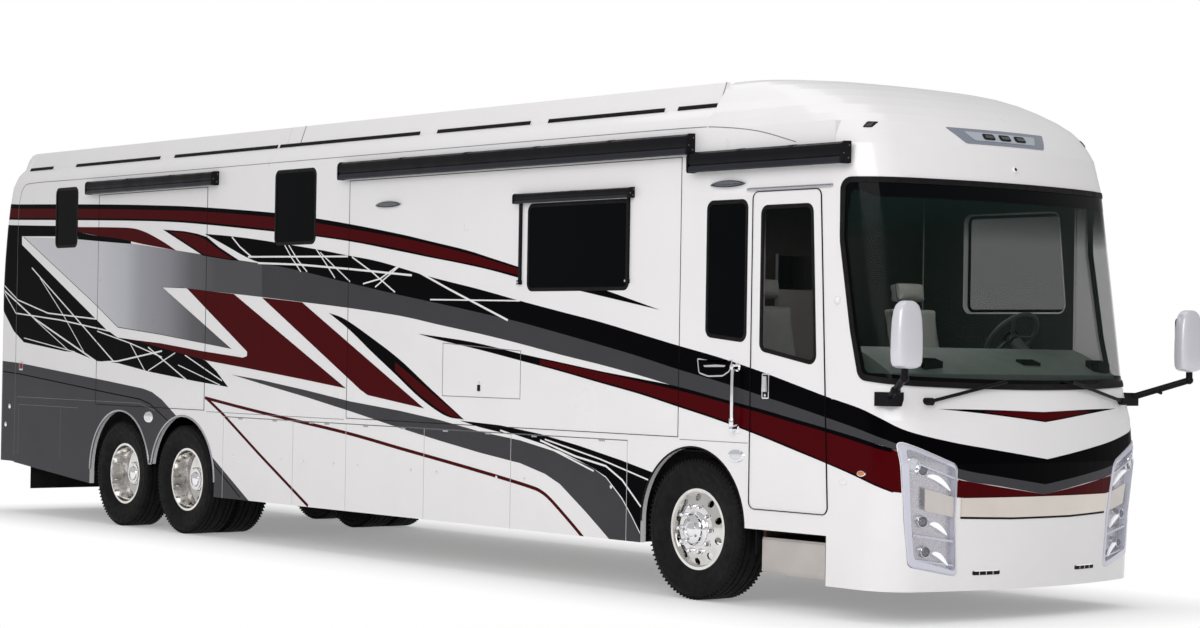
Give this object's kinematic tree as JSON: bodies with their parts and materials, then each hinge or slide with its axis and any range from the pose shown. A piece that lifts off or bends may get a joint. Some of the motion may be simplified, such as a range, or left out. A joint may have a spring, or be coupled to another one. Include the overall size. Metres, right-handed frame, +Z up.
{
  "type": "motorhome",
  "caption": "Class A diesel motorhome with slide-out rooms, luggage bay doors, entry door and step, steering front wheels and rolling wheels.",
  "frame": {"origin": "on the ground under the middle of the vehicle", "axes": "+X forward, +Y to the left side, +Z up"},
  "size_m": [13.715, 3.16, 3.7899],
  "materials": {
    "bay_grey": "satin",
    "cab_plastic": "matte",
    "coach_white": "gloss",
    "engine_iron": "rough",
    "floor_wood": "satin",
    "frame_black": "satin",
    "headlamp_lens": "clear",
    "polished_rim": "polished",
    "rubber_black": "matte",
    "satin_black": "satin",
    "seat_leather": "satin",
    "tail_lens": "gloss",
    "tinted_glass": "clear",
    "tyre": "matte"
  },
  "bodies": {
    "coach": {"awning_cassettes": "satin_black", "axles": "frame_black", "basement_bays": "bay_grey", "cab_seats": "seat_leather", "chassis_frame": "frame_black", "dashboard": "cab_plastic", "engine_block": "engine_iron", "floor_deck": "floor_wood", "front_cap": "coach_white", "headlights": "headlamp_lens", "hitch_receiver": "frame_black", "left_sidewall": "coach_white", "mirror_arms": "satin_black", "mirror_heads": "coach_white", "mudflap": "rubber_black", "rear_cap": "coach_white", "right_sidewall": "coach_white", "roof": "coach_white", "roof_air_conditioners": "coach_white", "roof_fairings": "coach_white", "side_windows": "tinted_glass", "taillights": "tail_lens", "wheel_liners": "rubber_black", "windshield": "tinted_glass", "wipers": "satin_black"},
    "front_knuckle_right": {"front_knuckle_right": "frame_black"},
    "front_wheel_right": {"front_tyre_right": "tyre", "front_rim_right": "polished_rim"},
    "drive_wheels_right": {"drive_tyres_right": "tyre", "drive_rims_right": "polished_rim"},
    "tag_wheel_right": {"tag_tyre_right": "tyre", "tag_rim_right": "polished_rim"},
    "right_bay_door_1": {"right_bay_door_1": "coach_white"},
    "right_bay_door_2": {"right_bay_door_2": "coach_white"},
    "right_bay_door_3": {"right_bay_door_3": "coach_white"},
    "right_bay_door_4": {"right_bay_door_4": "coach_white"},
    "right_bay_door_5": {"right_bay_door_5": "coach_white"},
    "front_knuckle_left": {"front_knuckle_left": "frame_black"},
    "front_wheel_left": {"front_tyre_left": "tyre", "front_rim_left": "polished_rim"},
    "drive_wheels_left": {"drive_tyres_left": "tyre", "drive_rims_left": "polished_rim"},
    "tag_wheel_left": {"tag_tyre_left": "tyre", "tag_rim_left": "polished_rim"},
    "left_bay_door_1": {"left_bay_door_1": "coach_white"},
    "left_bay_door_2": {"left_bay_door_2": "coach_white"},
    "left_bay_door_3": {"left_bay_door_3": "coach_white"},
    "steering_wheel": {"steering_wheel": "cab_plastic"},
    "entry_door": {"entry_door": "coach_white", "entry_door_window": "tinted_glass"},
    "entry_step": {"entry_step": "bay_grey"},
    "slideout_right_front": {"slideout_right_front": "coach_white", "slideout_right_front_windows": "tinted_glass"},
    "slideout_right_rear": {"slideout_right_rear": "coach_white"},
    "slideout_left": {"slideout_left": "coach_white", "slideout_left_windows": "tinted_glass"},
    "engine_door": {"engine_door": "coach_white"}
  },
  "joints": [
    {"name": "steer_right", "type": "hinge", "parent": "coach", "child": "front_knuckle_right", "pos_m": [4.4925, -0.905, 0.515], "axis": [0, 0, 1], "range_deg": [-45, 45]},
    {"name": "front_wheel_right_spin", "type": "hinge", "parent": "front_knuckle_right", "child": "front_wheel_right", "pos_m": [4.4925, -1.125, 0.515], "axis": [0, 1, 0], "continuous": true},
    {"name": "drive_wheels_right_spin", "type": "hinge", "parent": "coach", "child": "drive_wheels_right", "pos_m": [-2.8575, -1.125, 0.515], "axis": [0, 1, 0], "continuous": true},
    {"name": "tag_wheel_right_spin", "type": "hinge", "parent": "coach", "child": "tag_wheel_right", "pos_m": [-4.0675, -1.125, 0.515], "axis": [0, 1, 0], "continuous": true},
    {"name": "right_bay_door_1_hinge", "type": "hinge", "parent": "coach", "child": "right_bay_door_1", "pos_m": [-0.9365, -1.283, 0.755], "axis": [0, 0, 1], "range_deg": [0, 85]},
    {"name": "right_bay_door_2_hinge", "type": "hinge", "parent": "coach", "child": "right_bay_door_2", "pos_m": [-0.0835, -1.283, 0.755], "axis": [0, 0, 1], "range_deg": [0, 85]},
    {"name": "right_bay_door_3_hinge", "type": "hinge", "parent": "coach", "child": "right_bay_door_3", "pos_m": [1.0885, -1.283, 0.755], "axis": [0, 0, 1], "range_deg": [0, 85]},
    {"name": "right_bay_door_4_hinge", "type": "hinge", "parent": "coach", "child": "right_bay_door_4", "pos_m": [2.2825, -1.283, 0.755], "axis": [0, 0, 1], "range_deg": [0, 85]},
    {"name": "right_bay_door_5_hinge", "type": "hinge", "parent": "coach", "child": "right_bay_door_5", "pos_m": [3.7305, -1.283, 0.755], "axis": [0, 0, 1], "range_deg": [0, 85]},
    {"name": "steer_left", "type": "hinge", "parent": "coach", "child": "front_knuckle_left", "pos_m": [4.4925, 0.905, 0.515], "axis": [0, 0, 1], "range_deg": [-45, 45]},
    {"name": "front_wheel_left_spin", "type": "hinge", "parent": "front_knuckle_left", "child": "front_wheel_left", "pos_m": [4.4925, 1.125, 0.515], "axis": [0, 1, 0], "continuous": true},
    {"name": "drive_wheels_left_spin", "type": "hinge", "parent": "coach", "child": "drive_wheels_left", "pos_m": [-2.8575, 1.125, 0.515], "axis": [0, 1, 0], "continuous": true},
    {"name": "tag_wheel_left_spin", "type": "hinge", "parent": "coach", "child": "tag_wheel_left", "pos_m": [-4.0675, 1.125, 0.515], "axis": [0, 1, 0], "continuous": true},
    {"name": "left_bay_door_1_hinge", "type": "hinge", "parent": "coach", "child": "left_bay_door_1", "pos_m": [-0.0835, 1.283, 0.755], "axis": [0, 0, 1], "range_deg": [-85, 0]},
    {"name": "left_bay_door_2_hinge", "type": "hinge", "parent": "coach", "child": "left_bay_door_2", "pos_m": [1.7925, 1.283, 0.755], "axis": [0, 0, 1], "range_deg": [-85, 0]},
    {"name": "left_bay_door_3_hinge", "type": "hinge", "parent": "coach", "child": "left_bay_door_3", "pos_m": [3.7305, 1.283, 0.755], "axis": [0, 0, 1], "range_deg": [-85, 0]},
    {"name": "steering_wheel_turn", "type": "hinge", "parent": "coach", "child": "steering_wheel", "pos_m": [5.8225, 0.64, 1.95], "axis": [-0.766, 0, 0.6428], "range_deg": [-810, 810]},
    {"name": "entry_door_hinge", "type": "hinge", "parent": "coach", "child": "entry_door", "pos_m": [5.8935, -1.283, 1.8], "axis": [0, 0, 1], "range_deg": [0, 95]},
    {"name": "entry_step_slide", "type": "slide", "parent": "coach", "child": "entry_step", "axis": [0, -1, 0], "range_m": [0, 0.33]},
    {"name": "slideout_right_front_travel", "type": "slide", "parent": "coach", "child": "slideout_right_front", "axis": [0, -1, 0], "range_m": [0, 0.68]},
    {"name": "slideout_right_rear_travel", "type": "slide", "parent": "coach", "child": "slideout_right_rear", "axis": [0, -1, 0], "range_m": [0, 0.5]},
    {"name": "slideout_left_travel", "type": "slide", "parent": "coach", "child": "slideout_left", "axis": [0, 1, 0], "range_m": [0, 0.64]},
    {"name": "engine_door_hinge", "type": "hinge", "parent": "coach", "child": "engine_door", "pos_m": [-6.8125, 0, 1.784], "axis": [0, 1, 0], "range_deg": [0, 80]}
  ],
  "couplings": [
    {"joint": "steer_right", "follows": "steering_wheel_turn", "ratio": 0.055556},
    {"joint": "steer_left", "follows": "steering_wheel_turn", "ratio": 0.055556}
  ]
}
